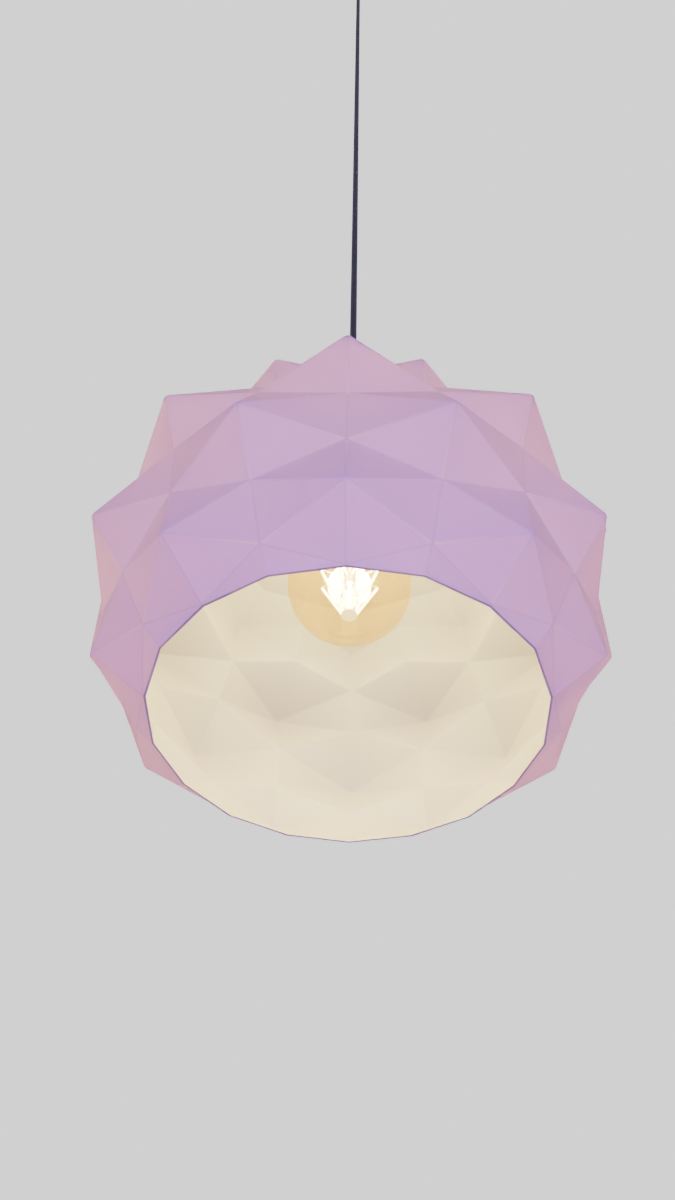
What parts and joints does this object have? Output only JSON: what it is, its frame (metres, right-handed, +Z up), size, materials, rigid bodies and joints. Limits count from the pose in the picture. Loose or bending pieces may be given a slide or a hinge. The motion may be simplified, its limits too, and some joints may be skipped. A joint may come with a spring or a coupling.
{
  "type": "pendant lamp",
  "caption": "Pendant lamp with a faceted moulded shade open at the bottom, a globe lamp in a threaded lampholder, a straight textile cord and a round ceiling cup.",
  "frame": {"origin": "middle of the mounting bracket's top face, at the ceiling", "axes": "+Z up, against the way the lamp hangs; -Y towards the viewer of the picture; +X to the right"},
  "size_m": [0.3962, 0.3994, 2.069],
  "materials": {
    "shade_plastic": "matt translucent moulding",
    "black_plastic": "fine matt moulding",
    "white_plastic": "natural nylon",
    "zinc_steel": "zinc plated",
    "brass": "stamped",
    "cord_textile": "braided",
    "core_insulation": "extruded",
    "ceramic": "glazed",
    "washer_fibre": "pressed fibre",
    "amber_glass": "clear tinted",
    "stem_glass": "clear",
    "nickel": "nickel plated",
    "cap_glass": "fused glass",
    "solder": "dull solder",
    "filament": "phosphor coated",
    "board": "laminate"
  },
  "bodies": {
    "ceiling": {"ceiling_cup": "black_plastic", "mounting_bracket": "zinc_steel", "cup_screws": "zinc_steel", "terminal_block": "white_plastic", "terminal_sleeves": "brass", "terminal_screws": "zinc_steel", "block_screws": "zinc_steel", "cord_gland": "black_plastic", "gland_nut": "black_plastic", "gland_screw": "white_plastic", "cord_lead": "cord_textile", "lead_cores": "core_insulation"},
    "bend_upper": {"cord_bend_upper": "cord_textile"},
    "bend_lower": {"cord_bend_lower": "cord_textile"},
    "pendant": {"cord_run": "cord_textile", "cord_grip": "black_plastic", "grip_screw": "white_plastic", "grip_nut": "black_plastic", "holder_cap": "black_plastic", "holder_body": "black_plastic", "contact_carrier": "ceramic", "screw_shell": "brass", "centre_contact": "brass", "side_contact": "brass", "holder_screws": "zinc_steel", "holder_cores": "core_insulation", "shade": "shade_plastic"},
    "ring_travel": {"ring_washer": "washer_fibre"},
    "ring": {"shade_ring": "black_plastic"},
    "bulb_travel": {"bulb_tip": "solder"},
    "bulb": {"bulb_glass": "amber_glass", "bulb_cap": "nickel", "bulb_insulator": "cap_glass", "bulb_stem": "stem_glass", "bulb_filaments": "filament", "bulb_supports": "nickel", "bulb_driver": "board"}
  },
  "joints": [
    {"name": "swing_side", "type": "hinge", "parent": "ceiling", "child": "bend_upper", "pos_m": [0, 0, -0.055], "axis": [0, 1, 0], "range_deg": [-20, 20]},
    {"name": "swing_front", "type": "hinge", "parent": "bend_upper", "child": "bend_lower", "pos_m": [0, 0, -0.063], "axis": [1, 0, 0], "range_deg": [-20, 20]},
    {"name": "cord_twist", "type": "hinge", "parent": "bend_lower", "child": "pendant", "pos_m": [0, 0, -0.069], "axis": [0, 0, 1], "range_deg": [-180, 180]},
    {"name": "ring_drop", "type": "slide", "parent": "pendant", "child": "ring_travel", "axis": [0, 0, 1], "range_m": [-0.0151, 0]},
    {"name": "ring_turn", "type": "hinge", "parent": "ring_travel", "child": "ring", "pos_m": [0, 0, -1.836], "axis": [0, 0, 1], "range_deg": [-2160, 0]},
    {"name": "bulb_drop", "type": "slide", "parent": "pendant", "child": "bulb_travel", "axis": [0, 0, 1], "range_m": [-0.0181, 0]},
    {"name": "bulb_turn", "type": "hinge", "parent": "bulb_travel", "child": "bulb", "pos_m": [0, 0, -1.859], "axis": [0, 0, 1], "range_deg": [-1800, 0]}
  ],
  "couplings": [
    {"joint": "ring_drop", "follows": "ring_turn", "m_per_rad": 0.00039789},
    {"joint": "bulb_drop", "follows": "bulb_turn", "m_per_rad": 0.00057296}
  ]
}
